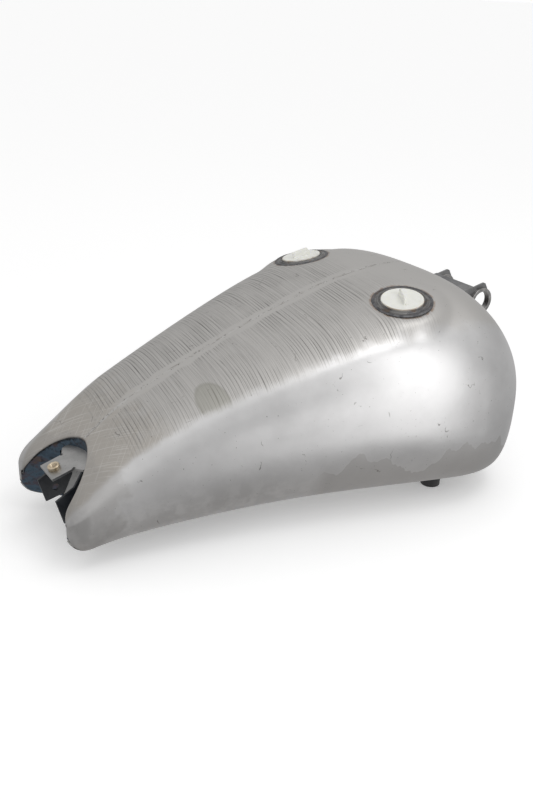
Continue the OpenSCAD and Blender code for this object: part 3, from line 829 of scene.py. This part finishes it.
# Painted shadow: a near-black band a few millimetres deep along the wall's top, made jagged by the soot
# grain, stands for the shade under the skins' lip.
below_bead = tree.nodes.new("ShaderNodeAttribute")
below_bead.attribute_name = "below_bead"
lip_shadow = ramp(tree, sums(tree, "MULTIPLY_ADD", soot, -9.0, below_bead.outputs["Fac"]), 1.5, -1.5)
tint_and_shadow_colour = mix(tree, times(tree, lip_shadow, 0.85), tint_and_shadow_colour, (0.02, 0.02, 0.02, 1))
tree.links.new(tint_and_shadow_colour, shader.inputs["Base Color"])
tree.links.new(sums(tree, "MULTIPLY_ADD", soot, 0.25, 0.24), shader.inputs["Roughness"])
relief(tree, shader, soot, 0.0001)
wall.data.materials.append(tint_and_shadow_finish)

bead_a = math.radians(89)
bead_steps = 520
rows = []
for k in range(bead_steps + 1):
    a = bead_a * (2 * k / bead_steps - 1)
    leg = 2.0 + 0.55 * noise.noise((a * 9, 0, 0)) + 0.5 * noise.noise((a * 34, 7, 0))
    back_x, back_y = notch_point(notch_lip - hidden_gap, a)
    back_z = under_skin(back_x, back_y)
    ring = [(back_x, back_y, back_z)]
    for t in np.linspace(0, math.pi / 2, 6):
        x, y = notch_point(notch_lip - hidden_gap - leg * math.cos(t), a)
        ring.append((x, y, min(back_z, under_skin(x, y)) - leg * math.sin(t)))
    rows.append(ring)
bead = belongs(woven("notch_bead", rows, 60), "tank", "raw_weld", "notch_weld")
bead.data.materials.append(raw_weld)

# Filler necks: turned steel rings set into holes in the skins, their faces left with the tool's
# fine circles. A dark bead of weld runs round each and blends into the skin.


def lathe(name, axis, profile, segments=96, closed=True, swell=None, sharp_deg=32):
    """Turns (radius, height) points round an axis; swell(angle, radius, height) shifts each one."""
    points, index = [], {}
    for i, (r, z) in enumerate(profile):
        for k in range(segments):
            if r == 0 and k:
                index[i, k] = index[i, 0]
                continue
            a = 2 * math.pi * k / segments
            grow, rise = swell(a, r, z) if swell else (0, 0)
            index[i, k] = len(points)
            cut_r = r + grow
            points.append(tuple(axis @ Vector((cut_r * math.cos(a), cut_r * math.sin(a), z + rise))))
    n = len(profile)
    faces = []
    for i in range(n if closed else n - 1):
        for k in range(segments):
            after = (k + 1) % segments
            corner = (index[i, k], index[i, after], index[(i + 1) % n, after], index[(i + 1) % n, k])
            corner = tuple(dict.fromkeys(corner))
            if len(corner) > 2:
                faces.append(corner)
    piece = make_piece(name, points, faces, sharp_deg)
    face_outwards(piece)
    return piece


neck_face = [(24.2, -24), (24.2, 1.4), (24.4, 1.6), (26.4, 1.6), (26.7, 1.45), (27.1, 0.75), (27.3, 0.6),
             (28.1, 0.6), (28.3, 0.75), (28.7, 1.45), (28.9, 1.6), (30.1, 1.6), (30.3, 1.45), (30.7, 0.75),
             (30.9, 0.6), (33.1, 0.6), (33.1, -5), (29.2, -8), (29.2, -24)]


def neck_bead(side):
    """Bead that climbs from the skin to the neck's face, scalloped where each drop froze."""
    scallops = 58
    inner, outer = 33, 36.6

    def swell(a, r, z):
        if z < 0:
            return 0, 0
        share = (r - inner) / (outer - inner)
        drop = abs(math.sin(a * scallops / 2)) + 0.6 * noise.noise((4 * math.cos(a), 4 * math.sin(a), side))
        return 0.3 * drop * share, 0.7 * (1 - share) + (0.35 + 0.16 * drop) * math.sin(math.pi * share)

    profile = [(inner, -2)] + [(inner + (outer - inner) * k / 7, 0.05) for k in range(8)] + [(outer, -2)]
    return lathe(side_name(side, "neck_bead"), filler_axis(side), profile, 348, True, swell, 60)


machined_neck, tree, shader = start_finish("machined_neck", 1.0)
here, along, across, high = places(tree)
neck_far = far_from(tree, stretched(tree, along, sums(tree, "ABSOLUTE", across), high), filler_spot)
wavy = grain(tree, here, 40.0)
turned = sums(tree, "SINE", sums(tree, "MULTIPLY_ADD", wavy, 3.0, times(tree, neck_far, 14000.0)))
stain = grain(tree, here, 70.0, 4.0, 0.6)
neck_shade = mix(tree, ramp(tree, stain, 0.35, 0.65), (0.10, 0.10, 0.105, 1), (0.24, 0.235, 0.23, 1))
neck_shade = mix(tree, times(tree, ramp(tree, turned, 0.2, 1.0), 0.35), neck_shade, (0.36, 0.355, 0.35, 1))
neck_rust = ramp(tree, grain(tree, here, 120.0, 2.0), 0.56, 0.66)
neck_shade = mix(tree, times(tree, neck_rust, 0.5), neck_shade, (0.16, 0.10, 0.06, 1))
tree.links.new(neck_shade, shader.inputs["Base Color"])
tree.links.new(sums(tree, "MULTIPLY_ADD", stain, 0.25, 0.20), shader.inputs["Roughness"])
relief(tree, shader, turned, 0.00005)
for side in (right, left):
    neck = lathe(side_name(side, "neck_ring"), filler_axis(side), neck_face, 128)
    belongs(neck, "tank", "machined_neck", side_name(side, "filler_neck"))
    neck.data.materials.append(machined_neck)
    bead = belongs(neck_bead(side), "tank", "raw_weld", side_name(side, "neck_weld"))
    bead.data.materials.append(raw_weld)

# Shipping plugs: soft milky plastic discs that keep dirt out of the fillers. Each is moulded in
# one piece with a raised rim and a thin finger tab, and pushes into its neck.
plug_profile = [(0, 2.7), (19, 2.7), (22.3, 2.8), (23.2, 3.1), (23.7, 3.24), (25.1, 3.24), (25.45, 3.1),
                (25.6, 2.8), (25.6, 1.66), (24.15, 1.6), (24.15, -9.7), (23.9, -10), (22.35, -10),
                (22.35, -0.5), (21.9, -0.15), (0, -0.15)]
tab_half, tab_top, tab_corner, tab_steps = 13.5, 11.2, 4, 28
tab_turn = {right: math.radians(63), left: math.radians(8)}
tab_side = [(2.5, 2.4), (1.7, 2.9), (1.3, 4.0), (1.2, 7.0)]


def shipping_plug(side):
    axis = filler_axis(side)
    disc = lathe(side_name(side, "plug_disc"), axis, plug_profile, 96, False)
    rows = []
    for k in range(tab_steps + 1):
        s = -tab_half * math.cos(math.pi * k / tab_steps)
        top = tab_top - tab_corner * (1 - float(round_end((tab_half - abs(s)) / tab_corner)))
        half = tab_side + [(1.1, top - 0.9), (0.6, top)]
        rows.append([tuple(axis @ Matrix.Rotation(tab_turn[side], 4, "Z") @ Vector((s, y, z)))
                     for y, z in half + [(-y, z) for y, z in half[::-1]]])
    tab = woven("tab", rows, 40)
    whole = bmesh.new()
    whole.from_mesh(disc.data)
    whole.from_mesh(tab.data)
    whole.to_mesh(disc.data)
    whole.free()
    disc.data.set_sharp_from_angle(angle=math.radians(40))
    bpy.data.objects.remove(tab)
    return belongs(disc, side_name(side, "plug"), "white_plastic", side_name(side, "shipping_plug"))


white_plastic, tree, shader = start_finish("white_plastic", 0.0)
here, along, across, high = places(tree)
plug_far = far_from(tree, stretched(tree, along, sums(tree, "ABSOLUTE", across), high), filler_spot)
milk = grain(tree, here, 55.0, 4.0, 0.6)
smear = ramp(tree, grain(tree, here, 95.0, 4.0, 0.65), 0.58, 0.72)
plastic = mix(tree, milk, (0.74, 0.74, 0.69, 1), (0.88, 0.88, 0.84, 1))
plastic = mix(tree, times(tree, smear, 0.35), plastic, (0.45, 0.38, 0.28, 1))
grime = times(tree, ramp(tree, plug_far, 0.0247, 0.0259), ramp(tree, milk, 0.35, 0.6))
plastic = mix(tree, times(tree, grime, 0.7), plastic, (0.34, 0.24, 0.14, 1))
tree.links.new(plastic, shader.inputs["Base Color"])
tree.links.new(sums(tree, "MULTIPLY_ADD", milk, 0.2, 0.28), shader.inputs["Roughness"])
shader.inputs["Subsurface Weight"].default_value = 0.25
shader.inputs["Subsurface Radius"].default_value = (0.004, 0.004, 0.003)
relief(tree, shader, grain(tree, here, 600.0, 2.0), 0.00004)
for side in (right, left):
    shipping_plug(side).data.materials.append(white_plastic)

# Front mount: a bracket folded from 3 mm plate, with a steel ring welded into each ear for the
# rubber bushing. The plate has a mill finish; the rings are turned and catch the light.
mount_x, mount_y, mount_z = 620, 32, 183
bracket_plate = mottled("bracket_plate", 1.0, (0.17, 0.17, 0.175, 1), (0.30, 0.30, 0.30, 1),
                        scale=40.0, rough=0.33, spread=0.22, depth_mm=0.12)[0]
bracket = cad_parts["front_bracket"]
repaint(bracket, bracket_plate)
soften(bracket, 0.6)
ring_profile = [(14, 0.5), (14.5, 0), (18.5, 0), (19, 0.5), (19, 8.5), (18.5, 9), (14.5, 9), (14, 8.5)]
bracket_ring = mottled("bracket_ring", 1.0, (0.26, 0.255, 0.25, 1), (0.50, 0.49, 0.48, 1),
                       scale=120.0, rough=0.24, spread=0.2, depth_mm=0.06)[0]
for side in (right, left):
    axis = (Matrix.Translation((mount_x, side * mount_y, mount_z))
            @ Matrix.Rotation(-side * math.pi / 2, 4, "X"))
    ring = lathe(side_name(side, "ring_turned"), axis, ring_profile, 96)
    belongs(ring, "tank", "bracket_ring", side_name(side, "bushing_ring"))
    ring.data.materials.append(bracket_ring)

# Rear mount: a tongue of plate steel behind the notch, a threaded insert pressed into it, and
# two tabs in black coating whose sawn edges have been left bright.
tongue_x, tongue_z = 6, 59
tongue_rise = math.radians(17)
insert_x = 16
tongue_plate = mottled("tongue_plate", 1.0, (0.33, 0.33, 0.325, 1), (0.45, 0.445, 0.44, 1),
                       scale=30.0, rough=0.38, spread=0.18, depth_mm=0.06)[0]
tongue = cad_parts["rear_tongue"]
repaint(tongue, tongue_plate)
soften(tongue, 0.35)


def thread(pitch, depth):
    """Swell of a screw thread cut to that depth, for a lathe profile; only its radius changes."""
    return lambda a, z: depth * abs(2 * ((z / pitch - a / (2 * math.pi)) % 1) - 1)


insert_bore, insert_low, insert_high = 4.0, -10.5, 4.5
insert_cut = thread(1.25, 0.6)
bore_rows, bore_step = 58, 0.25
bore = [(insert_bore, insert_high - 0.4 - bore_step * k) for k in range(bore_rows)]
insert_profile = [(insert_bore, insert_low), (5.45, insert_low), (5.45, 0), (6.8, 0), (7, 0.2), (7, 4.0),
                  (6.5, insert_high), (4.5, insert_high)] + bore
insert_axis = (
    Matrix.Translation((tongue_x, 0, tongue_z))
    @ Matrix.Rotation(-tongue_rise, 4, "Y")
    @ Matrix.Translation(((insert_x - tongue_x) / math.cos(tongue_rise), 0, 0))
)
insert = lathe("insert_turned", insert_axis, insert_profile, 64, True,
               lambda a, r, z: (insert_cut(a, z) if r == insert_bore and z < 3.9 else 0, 0))
belongs(insert, "tank", "plated_insert", "threaded_insert")
plated = mottled("plated_insert", 1.0, (0.42, 0.32, 0.20, 1), (0.72, 0.62, 0.47, 1),
                 scale=160.0, rough=0.18, spread=0.2, depth_mm=0.05)[0]
insert.data.materials.append(plated)

black_coating = mottled("black_coating", 0.0, (0.012, 0.014, 0.018, 1), (0.028, 0.031, 0.036, 1),
                        scale=90.0, rough=0.30, spread=0.2, depth_mm=0.08)[0]
cut_edge = mottled("cut_edge", 1.0, (0.50, 0.49, 0.47, 1), (0.78, 0.77, 0.75, 1),
                   scale=260.0, rough=0.22, spread=0.2, depth_mm=0.05)[0]
for side in (right, left):
    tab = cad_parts[side_name(side, "side_tab")]
    repaint(tab, black_coating)
    tab.data.materials.append(cut_edge)
    soften(tab, 0.8, 1)

# Fuel outlets: a threaded steel spigot is welded into each floor for the valve, and a soft black
# cap keeps its thread clean until the tank is fitted.
spigot_r, spigot_bore = 11, 8
spigot_cut = thread(1.5, 0.8)
spigot_profile = [(spigot_bore, 4.6), (spigot_bore, -23.6), (8.4, -24), (10.4, -24)]
spigot_rows, spigot_step = 70, 0.3
spigot_profile += [(spigot_r, -23.6 + spigot_step * k) for k in range(spigot_rows)]
spigot_profile += [(spigot_r, -2.2), (13.3, -2), (collar_r, -1.8), (collar_r, 1.5), (16, 1.5), (16, 4.7),
                   (15.7, 5), (8.4, 5)]
cap_profile = [(0, -26), (11.6, -26), (12.3, -25.75), (12.7, -25.1), (12.7, -3.1), (12.5, -2.6),
               (12.1, -2.5), (11.3, -2.5), (11.05, -2.8), (11.05, -24.05), (0, -24.05)]
machined_spigot = mottled("machined_spigot", 1.0, (0.38, 0.375, 0.365, 1), (0.62, 0.61, 0.59, 1),
                          scale=130.0, rough=0.22, spread=0.2, depth_mm=0.05)[0]
black_cap = mottled("black_cap", 0.0, (0.010, 0.010, 0.011, 1), (0.022, 0.022, 0.023, 1),
                    scale=110.0, rough=0.40, spread=0.2, depth_mm=0.05)[0]
for side in (right, left):
    axis = Matrix.Translation((spigot_x, side * spigot_y, 0))
    spigot = lathe(side_name(side, "spigot_turned"), axis, spigot_profile, 72, True,
                   lambda a, r, z: (-spigot_cut(a, z) if r == spigot_r and z < -3 else 0, 0))
    belongs(spigot, "tank", "machined_spigot", side_name(side, "fuel_spigot"))
    spigot.data.materials.append(machined_spigot)
    cap = lathe(side_name(side, "cap_shell"), axis, cap_profile, 72, False)
    belongs(cap, side_name(side, "cap"), "black_cap", side_name(side, "spigot_cap"))
    cap.data.materials.append(black_cap)
